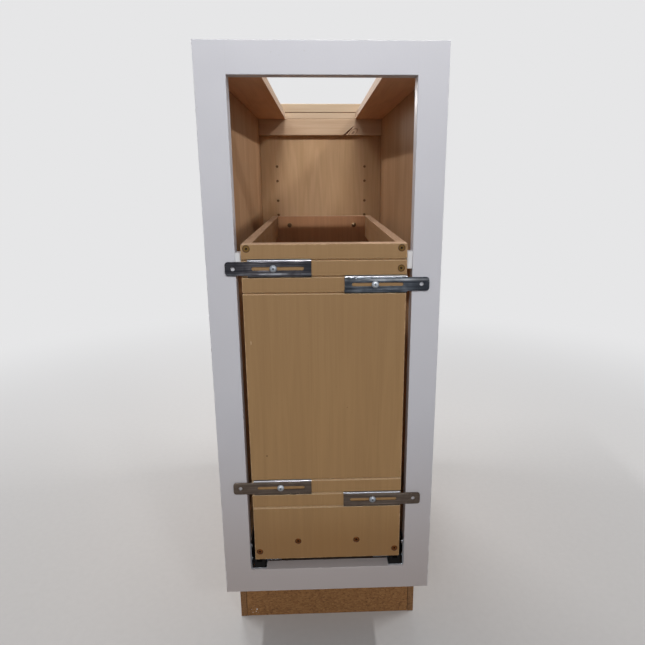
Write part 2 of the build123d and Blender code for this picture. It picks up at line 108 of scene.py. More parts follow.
def maths(tree, operation, *values):
    """The result of one sum on masks."""
    return add_node(tree, "Math", dict(enumerate(values)), operation=operation).outputs[0]


def times(tree, first, second):
    """Two masks multiplied."""
    return maths(tree, "MULTIPLY", first, second)


def vectors(tree, operation, *values):
    """The result of one sum on vectors, which is a number for a length or a distance."""
    node = add_node(tree, "VectorMath", dict(enumerate(values)), operation=operation)
    return node.outputs["Value" if operation in ("LENGTH", "DISTANCE") else "Vector"]


def spread(tree, value, low, high, new_low=0.0, new_high=1.0):
    """A mask stretched so that it runs from new_low to new_high between low and high."""
    limits = {"From Min": low, "From Max": high, "To Min": new_low, "To Max": new_high}
    node = add_node(tree, "MapRange", {"Value": value, **limits}, interpolation_type="SMOOTHSTEP")
    return node.outputs[0]


def mix(tree, mask, first, second):
    """The first colour where the mask is 0 and the second where it is 1."""
    return add_node(tree, "Mix", {0: mask, 6: first, 7: second}, data_type="RGBA").outputs[2]


def cloud(tree, place, scale, detail=2.0, roughness=0.5):
    """Soft cloudy noise, from 0 to 1."""
    settings = {"Vector": place, "Scale": scale, "Detail": detail, "Roughness": roughness}
    return add_node(tree, "TexNoise", settings).outputs[0]


def start_finish(name):
    """A new empty material, with its node tree and the place of each point on the object."""
    finish = bpy.data.materials.new(name)
    finish.use_nodes = True
    finish.node_tree.nodes.clear()
    return finish, finish.node_tree, add_node(finish.node_tree, "TexCoord").outputs["Object"]


def seen_directly(tree):
    """1 for what the viewer sees straight, mirrored or through glass, and 0 for light."""
    rays = add_node(tree, "LightPath").outputs
    seen = maths(tree, "MAXIMUM", rays["Is Camera Ray"], rays["Is Glossy Ray"])
    return maths(tree, "MAXIMUM", seen, rays["Is Transmission Ray"])


surround = tint(230, 230, 231)
floor_paint, tree, place = start_finish("pale_floor")
floor_tone = mix(tree, cloud(tree, place, 90.0, 3.0), tint(200, 199, 198), tint(206, 205, 204))
floor_tone = mix(tree, seen_directly(tree), tint(150, 138, 130), floor_tone)
matt = add_node(tree, "BsdfPrincipled", {"Base Color": floor_tone, "Roughness": 0.9})
glow = add_node(tree, "Emission", {"Color": surround, "Strength": 1.0})
far_off = spread(tree, vectors(tree, "LENGTH", place), 0.4, 2.0)
far_off = times(tree, far_off, seen_directly(tree))
cover = add_node(tree, "MixShader", {0: far_off, 1: matt.outputs[0], 2: glow.outputs[0]})
add_node(tree, "OutputMaterial", {"Surface": cover.outputs[0]})

ground = bmesh.new()
bmesh.ops.create_circle(ground, cap_ends=True, segments=96, radius=9.0)
ground_mesh = bpy.data.meshes.new("floor")
ground.to_mesh(ground_mesh)
ground.free()
ground_mesh.materials.append(floor_paint)
floor = bpy.data.objects.new("floor", ground_mesh)
scene.collection.objects.link(floor)
floor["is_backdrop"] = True

sky = bpy.data.worlds.new("surround")
scene.world = sky
sky.use_nodes = True
tree = sky.node_tree
tree.nodes.clear()
shown = add_node(tree, "Background", {"Color": surround, "Strength": 1.0}).outputs[0]
fill = add_node(tree, "Background", {"Color": tint(238, 239, 243), "Strength": 0.31}).outputs[0]
cover = add_node(tree, "MixShader", {0: seen_directly(tree), 1: fill, 2: shown})
add_node(tree, "OutputWorld", {"Surface": cover.outputs[0]})

inside_top, frame_top = (0.0, 0.30, 0.7), (0.0, -0.30, 0.954)
for name, spot, aim, size, watts, beam in (
    ("ceiling_panel", (0.12, 0.10, 2.35), (0.0, 0.15, 0.6), (0.40, 0.40), 3.5, 180),
    ("right_ceiling_panel", (1.45, 0.30, 2.25), inside_top, (0.80, 0.08), 17, 180),
    ("left_ceiling_panel", (-0.95, 0.30, 2.40), inside_top, (0.80, 0.08), 17, 180),
    ("room_lamp", (0.10, -3.00, 2.32), frame_top, (0.70, 0.05), 2.50, 44),
    ("right_room_lamp", (1.45, -3.00, 2.32), frame_top, (0.40, 0.05), 1.25, 44),
    ("left_room_lamp", (-0.80, -3.00, 2.32), frame_top, (0.40, 0.05), 0.60, 44),
    ("rear_lamp", (-0.90, 3.00, 1.30), (0.0, 0.30, 0.55), (1.20, 1.20), 9, 70),
):
    glow = bpy.data.lights.new(name, "AREA")
    glow.shape = "RECTANGLE"
    glow.size, glow.size_y = size
    glow.energy = watts
    glow.color = (1.0, 0.985, 0.975)
    glow.spread = math.radians(beam)
    lamp = bpy.data.objects.new(name, glow)
    facing = (Vector(aim) - Vector(spot)).to_track_quat("-Z", "Y")
    lamp.matrix_world = Matrix.Translation(Vector(spot)) @ facing.to_matrix().to_4x4()
    scene.collection.objects.link(lamp)


# ---- Face frame ----
# Two stiles with a top and a bottom rail between them, doweled, glued and filled, then sprayed a
# satin cool white all over. The joints only just show through; shade is painted in low down.
def both(name):
    """The names of a left and a right piece."""
    return f"left_{name}", f"right_{name}"


def board(low, high):
    """A sawn board between two corners."""
    shape = bmesh.new()
    bmesh.ops.create_cube(shape, size=1)
    bmesh.ops.scale(shape, vec=high - low, verts=shape.verts)
    bmesh.ops.translate(shape, vec=(low + high) / 2, verts=shape.verts)
    return shape


def cut(shape, tool):
    """Saw or drill the tool's shape out of a piece."""
    blocks = []
    for part in (shape, tool):
        mesh = bpy.data.meshes.new("work")
        part.to_mesh(mesh)
        part.free()
        blocks.append(bpy.data.objects.new("work", mesh))
        scene.collection.objects.link(blocks[-1])
    saw = blocks[0].modifiers.new("saw", "BOOLEAN")
    saw.object = blocks[1]
    saw.operation = "DIFFERENCE"
    saw.solver = "EXACT"
    worked = blocks[0].evaluated_get(bpy.context.evaluated_depsgraph_get())
    shape = bmesh.new()
    shape.from_mesh(worked.to_mesh())
    worked.to_mesh_clear()
    for block in blocks:
        bpy.data.meshes.remove(block.data)
    return shape


def corners(shape, least=50):
    """The edges of a shape where its faces meet at a corner."""
    least = math.radians(least)
    return [e for e in shape.edges if e.is_manifold and e.calc_face_angle(0) > least]


def ease(shape, edges, width, segments=3):
    """Round over some of a shape's edges."""
    bmesh.ops.bevel(
        shape, geom=list(edges), offset=width, segments=segments, profile=0.5,
        affect="EDGES", material=-1, clamp_overlap=True,
    )


def finish_piece(name, shape, finishes, nodes, body="cabinet", crease=32):
    """Turn a finished shape into a piece of the model that stands for its CAD nodes."""
    mesh = bpy.data.meshes.new(name)
    shape.to_mesh(mesh)
    shape.free()
    mesh.polygons.foreach_set("use_smooth", [True] * len(mesh.polygons))
    mesh.set_sharp_from_angle(angle=math.radians(crease))
    for finish in finishes:
        mesh.materials.append(finish)
    piece = bpy.data.objects.new(name, mesh)
    scene.collection.objects.link(piece)
    even = piece.modifiers.new("even light over flat faces", "WEIGHTED_NORMAL")
    even.keep_sharp = True
    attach(piece, body)
    if nodes:
        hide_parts(*nodes)
    return piece


def axes(tree, vector):
    """The x, y and z of a vector."""
    return add_node(tree, "SeparateXYZ", {0: vector}).outputs


def mapped(tree, vector, kind="POINT", **moves):
    """A vector moved, turned or scaled."""
    return add_node(tree, "Mapping", {"Vector": vector, **moves}, vector_type=kind).outputs[0]


def lay_over(tree, colour, mask, share, tone):
    """A colour with a share of a tone laid over it where the mask is 1."""
    return mix(tree, times(tree, mask, share), colour, tone)


def effect(name, outputs, **inputs):
    """An empty shader node group with its named sockets: its tree, inputs, vector and end."""
    group = bpy.data.node_groups.new(name, "ShaderNodeTree")
    for label, value in {"Vector": (0, 0, 0), **inputs}.items():
        kind = "NodeSocketVector" if isinstance(value, tuple) else "NodeSocketFloat"
        label = label.replace("_", " ")
        socket = group.interface.new_socket(label, in_out="INPUT", socket_type=kind)
        socket.default_value = value
    for label in outputs:
        group.interface.new_socket(label, in_out="OUTPUT", socket_type="NodeSocketFloat")
    given = group.nodes.new("NodeGroupInput").outputs
    return group, given, given["Vector"], group.nodes.new("NodeGroupOutput")


def give(result, **values):
    """Join what a shader node group works out to its outputs."""
    for name, value in values.items():
        result.id_data.links.new(value, result.inputs[name])


def use(tree, group, **inputs):
    """A shader node group placed in a material with its own values."""
    node = tree.nodes.new("ShaderNodeGroup")
    node.node_tree = group
    for name, value in inputs.items():
        socket = node.inputs[name.replace("_", " ")]
        if isinstance(value, bpy.types.NodeSocket):
            tree.links.new(value, socket)
        else:
            socket.default_value = value
    return node.outputs


def close_finish(tree, colour, height, relief, rough, strength=0.5, metallic=0.0, shine=0.5):
    """The shader of a finish, with its colour, its relief and its gloss."""
    bump = add_node(tree, "Bump", {"Height": height, "Distance": relief, "Strength": strength})
    surface = add_node(tree, "BsdfPrincipled", {
        "Base Color": colour, "Normal": bump.outputs[0], "Roughness": rough, "Metallic": metallic,
        "Specular IOR Level": shine,
    })
    add_node(tree, "OutputMaterial", {"Surface": surface.outputs[0]})


# Wear along the edges of a squared board: 1 at an edge and 0 on the open faces, broken up.
rubbed_edges, given, place, result = effect(
    "rubbed edges", ["Wear"], Middle=(0, 0, 0), Half_Size=(1, 1, 1), Width=0.002, Breakup=160.0
)
tree = rubbed_edges
away = vectors(tree, "ABSOLUTE", vectors(tree, "SUBTRACT", place, given["Middle"]))
x, y, z = axes(tree, vectors(tree, "SUBTRACT", given["Half Size"], away))
pairs = [maths(tree, "MAXIMUM", *two) for two in ((x, y), (y, z), (x, z))]
near_edge = maths(tree, "MINIMUM", maths(tree, "MINIMUM", *pairs[:2]), pairs[2])
ragged = cloud(tree, place, given["Breakup"], 4.0)
edge_reach = times(tree, given["Width"], spread(tree, ragged, 0.3, 0.75, 0.1, 1.6))
share = maths(tree, "DIVIDE", near_edge, edge_reach)
give(result, Wear=spread(tree, share, 1.0, 0.25))

# Small things on a handled surface: cloudy smudges, fine specks and a few thin scratches.
handling, given, place, result = effect(
    "handling marks", ["Smudges", "Specks", "Scratches"], Speck_Size=0.0012
)
tree = handling
grit = maths(tree, "DIVIDE", 0.16, given["Speck Size"])
spots = add_node(tree, "TexVoronoi", {"Vector": place, "Scale": grit}).outputs
chance = add_node(tree, "SeparateColor", {0: spots["Color"]}).outputs[0]
specks = times(tree, spread(tree, spots["Distance"], 0.12, 0.05), spread(tree, chance, 0.80, 0.86))
crossed = mapped(tree, place, Rotation=(0.4, 0.9, 0.7), Scale=(260, 8, 30))
scratches = spread(tree, cloud(tree, crossed, 1.0), 0.715, 0.75)
smudges = cloud(tree, place, 11.0, 4.0)
give(result, Smudges=smudges, Specks=specks, Scratches=scratches)


def edge_wear(tree, place, low, high, width, breakup):
    """Where the edges of a squared board between two corners are rubbed."""
    return use(
        tree, rubbed_edges, Vector=place, Middle=(low + high) / 2, Half_Size=(high - low) / 2,
        Width=width, Breakup=breakup,
    )["Wear"]


def handled(tree, place, speck_size):
    """The handling marks on a surface."""
    return use(tree, handling, Vector=place, Speck_Size=speck_size)


def smudged(tree, marks, least, most):
    """A roughness that follows the smudges on a surface."""
    return spread(tree, marks["Smudges"], 0.3, 0.7, least, most)


stile_low, frame_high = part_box("right_stile")
frame_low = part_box("left_stile")[0]
opening_low = Vector((-stile_low.x, frame_low.y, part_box("bottom_rail")[1].z))
opening_high = Vector((stile_low.x, frame_high.y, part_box("top_rail")[0].z))
past = 0.01
through = Vector((0, past, 0))

face_frame = board(frame_low, frame_high)
face_frame = cut(face_frame, board(opening_low - through, opening_high + through))
for node in both("side_panel"):
    low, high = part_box(node)
    groove_low = Vector((low.x, low.y, frame_low.z - past))
    groove_high = Vector((high.x, frame_high.y + past, frame_high.z + past))
    face_frame = cut(face_frame, board(groove_low, groove_high))
in_front = [
    e for e in corners(face_frame) if max(v.co.y for v in e.verts) < frame_low.y + 0.001
]
ease(face_frame, in_front, 0.0011)

white_paint, tree, place = start_finish("white_paint")
marks = handled(tree, place, 0.0016)
wear = edge_wear(tree, place, frame_low, frame_high, 0.0016, 70.0)
x, _, z = axes(tree, place)
beside = maths(tree, "SUBTRACT", maths(tree, "ABSOLUTE", x), stile_low.x)
beside = spread(tree, maths(tree, "ABSOLUTE", beside), 0.0006, 0.0001)
outside = maths(
    tree, "MAXIMUM", spread(tree, z, opening_high.z, opening_high.z + 0.001),
    spread(tree, z, opening_low.z, opening_low.z - 0.001),
)
joint = times(tree, beside, outside)
colour = mix(tree, marks["Smudges"], tint(206, 208, 216), tint(213, 215, 222))
# Painted shade: the paint is darkened from 0.44 m down to 0.10 m, where less light falls.
colour = mix(tree, spread(tree, z, 0.44, 0.10), colour, tint(188, 181, 180))
colour = lay_over(tree, colour, wear, 0.6, tint(228, 228, 232))
colour = lay_over(tree, colour, joint, 0.04, tint(150, 146, 142))
colour = lay_over(tree, colour, marks["Specks"], 0.22, tint(176, 172, 168))
broad, fine = cloud(tree, place, 34.0, 1.0), cloud(tree, place, 420.0)
skin = maths(tree, "MULTIPLY_ADD", broad, 2.5, fine)
skin = maths(tree, "SUBTRACT", skin, times(tree, joint, 0.3))
close_finish(tree, colour, skin, 0.00012, smudged(tree, marks, 0.36, 0.48))
finish_piece(
    "face-frame", face_frame, [white_paint],
    ["left_stile", "right_stile", "top_rail", "bottom_rail"],
)


# ---- Side panels ----
# Particleboard faced on both sides with a maple-print laminate, grain upright. They are let into
# the stiles, grooved for the floor and the back, and left raw on their edges.
timber, given, place, result = effect(
    "timber grain", ["Lines", "Figure", "Broad", "Flecks"], Fineness=900.0, Stretch=0.025
)
tree = timber


def drawn_out(share, stretch_share):
    """The timber's coordinates drawn out along the grain, at a share of its fineness."""
    wide = times(tree, given["Fineness"], share)
    slow = times(tree, given["Stretch"], stretch_share)
    slow = times(tree, wide, slow)
    scale = add_node(tree, "CombineXYZ", {0: wide, 1: wide, 2: slow}).outputs[0]
    return vectors(tree, "MULTIPLY", place, scale)


broad = cloud(tree, drawn_out(0.035, 4.0), 1.0)
flecks = cloud(tree, drawn_out(0.7, 7.0), 1.0, 1.0)
lines = spread(tree, cloud(tree, drawn_out(1.0, 1.0), 1.0, 3.0, 0.6), 0.3, 0.7)
patches = spread(tree, cloud(tree, drawn_out(0.11, 2.0), 1.0, 2.0), 0.32, 0.68, 0.35, 1.3)
rings = maths(tree, "MULTIPLY_ADD", lines, 0.9, times(tree, broad, 60.0))
rings = maths(tree, "SINE", rings)
give(
    result, Lines=times(tree, lines, patches), Figure=spread(tree, rings, -1.0, 1.0),
    Broad=spread(tree, broad, 0.3, 0.7), Flecks=spread(tree, flecks, 0.62, 0.72),
)

# Pressed wood chips, as on the sawn edge or unfaced side of particleboard.
chipboard, given, place, result = effect(
    "pressed chips", ["Chips", "Gaps", "Height"], Chip_Size=0.0022
)
tree = chipboard
swirl = add_node(tree, "TexNoise", {"Vector": place, "Scale": 150.0}).outputs["Color"]
swirl = add_node(tree, "VectorMath", {0: swirl, 3: 0.004}, operation="SCALE").outputs[0]
laid = vectors(tree, "MULTIPLY", vectors(tree, "ADD", place, swirl), (0.6, 1.0, 1.0))
chip_scale = maths(tree, "DIVIDE", 1.0, given["Chip Size"])
chips = add_node(tree, "TexVoronoi", {"Vector": laid, "Scale": chip_scale}).outputs
chip_tone = add_node(tree, "SeparateColor", {0: chips["Color"]}).outputs[0]
dust = cloud(tree, place, 900.0, 3.0)
gaps = spread(tree, times(tree, chips["Distance"], dust), 0.30, 0.45)
mottle = maths(tree, "MULTIPLY_ADD", dust, 0.5, times(tree, chip_tone, 0.6))
give(result, Chips=mottle, Gaps=gaps, Height=maths(tree, "SUBTRACT", chip_tone, gaps))

grain_turns = {"X": (0, math.pi / 2, 0), "Y": (math.pi / 2, 0, 0), "Z": (0, 0, 0)}


def tints(tones):
    """Several colours as a paint chart gives them."""
    return [tint(*tone) for tone in tones]


def laminate(name, grain, tones):
    """A smooth maple print on board: faint figure along the grain and light handling marks."""
    face, tree, place = start_finish(name)
    turned = mapped(tree, place, Rotation=grain_turns[grain])
    wood = use(tree, timber, Vector=turned, Fineness=700.0, Stretch=0.018)
    marks = handled(tree, place, 0.0014)
    light, middle, dark = tints(tones)
    colour = mix(tree, wood["Broad"], light, middle)
    colour = lay_over(tree, colour, wood["Figure"], 0.17, dark)
    colour = lay_over(tree, colour, wood["Lines"], 0.26, dark)
    colour = lay_over(tree, colour, marks["Specks"], 0.35, dark)
    gloss = smudged(tree, marks, 0.60, 0.74)
    close_finish(tree, colour, wood["Lines"], 0.00005, gloss, 0.4, shine=0.10)
    return face


def raw_chipboard(name, tones, chip_size, drops=()):
    """Unfaced particleboard; drops gives where spots of white paint have landed, and how big."""
    raw, tree, place = start_finish(name)
    core = use(tree, chipboard, Vector=place, Chip_Size=chip_size)
    light, dark, gap = tints(tones)
    colour = mix(tree, core["Chips"], dark, light)
    colour = lay_over(tree, colour, core["Gaps"], 0.6, gap)
    ragged = times(tree, cloud(tree, place, 520.0, 2.0), 0.0012) if drops else None
    for spot, size in drops:
        away = maths(tree, "ADD", vectors(tree, "DISTANCE", place, spot), ragged)
        splash = spread(tree, away, size + 0.0007, size + 0.0004)
        colour = mix(tree, splash, colour, tint(222, 217, 210))
    close_finish(tree, colour, core["Height"], 0.0003, 0.85, 0.6)
    return raw


def traced(node, whole_faces=True):
    """A merged copy of a CAD node's shape, ready to be worked on."""
    shape = bmesh.new()
    shape.from_mesh(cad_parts[node].data)
    bmesh.ops.remove_doubles(shape, verts=shape.verts, dist=2e-6)
    if whole_faces:
        bmesh.ops.dissolve_limit(
            shape, angle_limit=math.radians(1), verts=shape.verts, edges=shape.edges
        )
    for face in shape.faces:
        face.material_index = 0
    return shape


def finish_node(node, shape, finishes, body="cabinet", crease=32):
    """Finish a piece that stands for one CAD node and is called after it."""
    finish_piece(node.replace("_", "-"), shape, finishes, [node], body, crease)


maple_print = laminate("maple_print", "Z", ((190, 154, 120), (180, 144, 110), (150, 113, 80)))
side_core = raw_chipboard("side_core", ((158, 118, 78), (120, 84, 50), (78, 50, 28)), 0.0016)
# A face looks along an axis past this share of its normal, and this near counts as touching.
squarely, touching = 0.9, 1e-5
for node in both("side_panel"):
    low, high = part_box(node)
    side = traced(node)
    for face in side.faces:
        at_side = min(abs(face.calc_center_median().x - x) for x in (low.x, high.x)) < touching
        face.material_index = 0 if at_side and abs(face.normal.x) > squarely else 1
    ease(side, corners(side), 0.0004, 2)
    finish_node(node, side, [maple_print, side_core])


# ---- Back panel ----
# A thin hardboard back, laminated inside and bare outside, stapled into the side panels' grooves
# and to the boards above. Two rows of four holes take the screws of a slide's rear bracket.
def grey_metal(name, tones, rough, along=0):
    """Plated or bare steel with faint rolling lines and finger smudges."""
    metal, tree, place = start_finish(name)
    marks = handled(tree, place, 0.0010)
    fine = [1400, 1400, 1400]
    fine[along] = 14
    lines = cloud(tree, mapped(tree, place, Scale=fine), 1.0)
    light, dark = tints(tones)
    colour = mix(tree, spread(tree, marks["Smudges"], 0.35, 0.65), light, dark)
    colour = mix(tree, spread(tree, lines, 0.4, 0.8, 0.0, 0.35), colour, dark)
    colour = lay_over(tree, colour, marks["Specks"], 0.5, dark)
    gloss = smudged(tree, marks, rough, rough + 0.14)
    close_finish(tree, colour, lines, 0.00002, gloss, 0.4, 1.0)
    return metal


hole_columns = (-0.100225, 0.100225)
hole_levels = (0.6350, 0.6670, 0.7115, 0.7435)
hole_radius, drill_length = 0.0027, 0.0104
facing_front = Matrix.Rotation(math.pi / 2, 4, "X")
low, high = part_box("back_panel")
staple_proud = Vector((0, 0.0003, 0))
back_sheet = board(low, high - staple_proud)
drill = bmesh.new()
for x in hole_columns:
    for z in hole_levels:
        bmesh.ops.create_cone(
            drill, cap_ends=True, segments=24, radius1=hole_radius, radius2=hole_radius,
            depth=drill_length, matrix=Matrix.Translation((x, low.y, z)) @ facing_front,
        )
back_sheet = cut(back_sheet, drill)
for face in back_sheet.faces:
    inside = face.normal.y < 0 and face.calc_center_median().y < low.y + 0.001
    face.material_index = 1 if abs(face.normal.y) < squarely else (0 if inside else 2)
rims = [e for e in corners(back_sheet) if max(abs(v.co.y - low.y) for v in e.verts) < touching]
ease(back_sheet, rims, 0.0003, 1)
back_print = laminate("back_print", "Z", ((220, 186, 147), (210, 175, 135), (176, 138, 98)))
# Painted shade: the hole walls, and the sheet's edges with them, are painted near black so the
# holes look dark.
hole_shade = raw_chipboard("hole_shade", ((38, 22, 11), (26, 15, 7), (16, 9, 4)), 0.0009)

hardboard, tree, place = start_finish("hardboard")
fuzz = cloud(tree, place, 260.0, 5.0, 0.7)
screen = add_node(tree, "TexVoronoi", {"Vector": place, "Scale": 620.0}).outputs["Distance"]
colour = mix(tree, cloud(tree, place, 5.0, 3.0), tint(150, 112, 74), tint(134, 96, 60))
colour = mix(tree, spread(tree, fuzz, 0.45, 0.75, 0.0, 0.5), colour, tint(98, 66, 38))
close_finish(tree, colour, maths(tree, "ADD", screen, fuzz), 0.0002, 0.9)
finish_piece(
    "back-sheet", back_sheet, [back_print, hole_shade, hardboard], ["back_panel"],
)

staple_length, staple_wire, staple_inset = 0.0105, 0.0012, 0.0024
first_staple, staple_run, last_staple = 0.03, 0.816, 11
upright, level = (staple_wire, staple_length), (staple_length, staple_wire)
nailer_middle = sum(corner.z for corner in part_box("back_nailer")) / 2
floor_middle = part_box("floor_panel")[0].z + 0.006
staple_places = [
    (side * (high.x - staple_inset), first_staple + staple_run * n / last_staple, upright)
    for side in (-1, 1) for n in range(last_staple + 1)
]
for apart, z in ((0.095, nailer_middle), (0.08, floor_middle)):
    staple_places += [(apart * n, z, level) for n in (-1, 0, 1)]
staples = bmesh.new()
for x, z, (wide, tall) in staple_places:
    made = bmesh.ops.create_cube(staples, size=1)["verts"]
    bmesh.ops.scale(staples, vec=(wide, staple_wire, tall), verts=made)
    lean = Matrix.Rotation(0.25 * noise.noise(Vector((x * 90, 0, z * 90))), 3, "Y")
    bmesh.ops.rotate(staples, cent=(0, 0, 0), verts=made, matrix=lean)
    bmesh.ops.translate(staples, vec=(x, high.y - staple_wire / 2, z), verts=made)
ease(staples, staples.edges, 0.0003, 2)
staple_steel = grey_metal("staple_steel", ((150, 150, 152), (104, 104, 108)), 0.35, 2)
finish_piece("back-staples", staples, [staple_steel], [])


# ---- Floor and toe kick ----
# The floor is laminated board, held in grooves of the side panels just behind the face frame. Its
# front edge and the front of its top are painted near black, as shade in the gap there. The toe
# kick is a strip of raw particleboard under it, with drops of white paint near its left end.
def score(shape, place, direction):
    """Divide a shape's faces along a plane, so that both sides can be treated differently."""
    bmesh.ops.bisect_plane(
        shape, geom=shape.verts[:] + shape.edges[:] + shape.faces[:], plane_co=place,
        plane_no=direction,
    )


def slice_up(shape, start, stop, step):
    """Score a shape into even slices along its width, so that its edges can wear unevenly."""
    for n in range(1, round((stop - start) / step)):
        score(shape, (start + n * step, 0, 0), (1, 0, 0))


low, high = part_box("floor_panel")
lip_back = low.y + 0.0035
deck = traced("floor_panel")
score(deck, (0, lip_back, 0), (0, 1, 0))
for face in deck.faces:
    behind_lip = face.calc_center_median().y > lip_back
    face.material_index = 0 if abs(face.normal.z) > squarely and behind_lip else 1
ease(deck, corners(deck), 0.0005, 2)
floor_print = laminate("floor_print", "Y", ((176, 138, 104), (164, 126, 92), (134, 96, 66)))
# Painted shade: the floor's front edge and the front of its top are near black, as the gap under
# the pull-out falls dark.
deck_gap_shade = raw_chipboard("deck_gap_shade", ((52, 36, 24), (36, 24, 15), (22, 14, 8)), 0.0014)
finish_piece("deck", deck, [floor_print, deck_gap_shade], ["floor_panel"])

low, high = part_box("toe_kick")
end_gap = Vector((0.0006, 0, 0))
worn_rim = 0.0012
kick = board(low + end_gap, high - end_gap)
ease(kick, kick.edges, 0.0009, 2)
slice_up(kick, low.x, high.x, 0.004)
for vert in kick.verts:
    at_rim = vert.co.z < worn_rim or vert.co.z > high.z - worn_rim
    if at_rim and vert.co.y < low.y + worn_rim:
        worn = abs(noise.noise(vert.co * 260)) * 0.00035
        vert.co.y = min(max(vert.co.y + worn, low.y), high.y)
paint_drops = [
    (Vector((low.x + across, low.y, low.z + above)), size)
    for across, above, size in (
        (0.0172, 0.0130, 0.0014), (0.0156, 0.0088, 0.0009), (0.0190, 0.0066, 0.0006),
        (0.0080, 0.0126, 0.0006), (0.0100, 0.0068, 0.0008), (0.0136, 0.0180, 0.0004),
    )
]
kick_board = raw_chipboard(
    "kick_board", ((172, 126, 78), (126, 86, 48), (84, 55, 28)), 0.0023, paint_drops
)
finish_node("toe_kick", kick, [kick_board])


# ---- Gussets ----
# Two plywood boards run from front to back under the worktop and stiffen the top corners. Their
# sawn inner edges show the layers.
def plywood_edge(name, tones, layer):
    """The sawn edge of plywood, where thin light and dark layers alternate."""
    sawn, tree, place = start_finish(name)
    wavy = cloud(tree, place, 60.0)
    level = maths(tree, "MULTIPLY_ADD", wavy, layer * 0.35, axes(tree, place)[2])
    bands = maths(tree, "SINE", times(tree, level, math.pi / layer))
    fuzz = cloud(tree, place, 700.0, 3.0, 0.7)
    light, dark = tints(tones)
    colour = lay_over(tree, light, spread(tree, bands, -0.3, 0.3), 0.5, dark)
    colour = mix(tree, spread(tree, fuzz, 0.5, 0.8, 0.0, 0.4), colour, dark)
    close_finish(tree, colour, fuzz, 0.0002, 0.8)
    return sawn


# Painted light: the undersides, which face down into shade, get a much lighter print than the
# tops.
gusset_finishes = [
    laminate("gusset_under_painted_light", "Y", ((246, 204, 170), (236, 192, 158), (200, 158, 124))),
    plywood_edge("gusset_edge", ((232, 208, 184), (190, 154, 126)), 0.0021),
    laminate("gusset_top", "Y", ((172, 138, 104), (162, 127, 94), (132, 98, 68))),
]
for node in both("gusset"):
    gusset = board(*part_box(node))
    ease(gusset, gusset.edges, 0.0005, 2)
    for face in gusset.faces:
        rise = face.normal.z
        face.material_index = 0 if rise < -squarely else (2 if rise > squarely else 1)
    finish_node(node, gusset, gusset_finishes)


# ---- Boards across the back of the top ----
# A pale softwood nailer, with a knot and a split beside it, takes the wall screws. A tie joins
# the gussets' rear ends above it, and a strip lies on the tie.
def solid_wood(
    name, grain, tones, low, high, fineness=820.0, figure=0.2, lines=0.3, knot_at=None, shaded_seam=None
):
    """Planed and sealed wood, paler where its edges have been handled."""
    planed, tree, place = start_finish(name)
    turned = mapped(tree, place, Rotation=grain_turns[grain])
    if knot_at:
        reach = vectors(tree, "LENGTH", mapped(
            tree, place, "TEXTURE", Location=knot_at, Rotation=(0, -0.70, 0), Scale=(1.5, 1, 0.72)
        ))
        knot = spread(tree, reach, 0.016, 0.0024)
        push = times(tree, knot, 0.02)
        swirl = add_node(tree, "CombineXYZ", {0: push, 1: push, 2: push}).outputs[0]
        turned = vectors(tree, "ADD", turned, swirl)
    wood = use(tree, timber, Vector=turned, Fineness=fineness, Stretch=0.018)
    marks = handled(tree, place, 0.0014)
    wear = edge_wear(tree, place, low, high, 0.0018, 120.0)
    light, middle, dark = tints(tones)
    colour = mix(tree, wood["Broad"], light, middle)
    for mask, share, tone in (
        (wood["Figure"], figure, dark), (wood["Lines"], lines, dark), (wood["Flecks"], 0.2, light),
        (wear, 0.5, light), (marks["Specks"], 0.4, dark),
    ):
        colour = lay_over(tree, colour, mask, share, tone)
    if knot_at:
        eye_rings = maths(tree, "SINE", times(tree, reach, 1000.0))
        eye_rings = times(tree, spread(tree, eye_rings, 0.0, 0.8), knot)
        colour = lay_over(tree, colour, knot, 0.45, dark)
        colour = lay_over(tree, colour, eye_rings, 0.8, tint(100, 60, 32))
    # Painted shade: a dark brown line along the foot of the board, where the gap to the board
    # below falls dark.
    if shaded_seam:
        painted_shade = spread(tree, axes(tree, place)[2], shaded_seam + 0.0026, shaded_seam + 0.0012, 0.0, 0.85)
        colour = mix(tree, painted_shade, colour, tint(112, 78, 46))
    close_finish(tree, colour, wood["Lines"], 0.0001, smudged(tree, marks, 0.46, 0.64))
    return planed


softwood = {
    "back_nailer": ((220, 192, 160), (212, 182, 150), (178, 138, 102)),
    "rear_tie": ((228, 203, 174), (220, 194, 164), (184, 150, 116)),
    "top_strip": ((222, 199, 168), (214, 190, 159), (180, 148, 114)),
}
# Painted shade: the walls of the split are painted dark brown, as the crack falls dark inside.
split_shade = raw_chipboard("split_shade", ((124, 66, 30), (92, 46, 20), (54, 26, 10)), 0.0012)
split_low, split_high = Vector((-0.0195, -0.0045, -0.0025)), Vector((0.0160, 0.0045, 0.0025))
split_lean = Matrix.Rotation(-0.73, 4, "Y") @ Matrix.Rotation(0.25, 4, "X")
split_start, split_stop, split_depth, split_foot = 0.045, 0.08, 0.0055, 0.0016
for node, tones in softwood.items():
    low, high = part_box(node)
    plank = board(low, high)
    ease(plank, plank.edges, 0.0013, 3)
    knot_at = shaded_seam = None
    if node == "top_strip":
        shaded_seam = low.z
    if node == "back_nailer":
        knot_at = Vector((0.0725, low.y, 0.8160))
        split = board(split_low, split_high)
        for vert in split.verts:
            vert.co.z *= 0.3 if vert.co.x > 0 else 1.0
        lean = Matrix.Translation((0.0617, low.y, 0.8185)) @ split_lean
        bmesh.ops.transform(split, matrix=lean, verts=split.verts)
        plank = cut(plank, split)
        for face in plank.faces:
            middle = face.calc_center_median()
            inside = low.y + 0.0002 < middle.y < low.y + split_depth
            beside = split_start < middle.x < split_stop and middle.z > low.z + split_foot
            face.material_index = int(inside and beside)
    pine = solid_wood(f"pine_{node}", "X", tones, low, high, 520.0, 0.18, 0.3, knot_at, shaded_seam)
    finish_node(node, plank, [pine, split_shade])


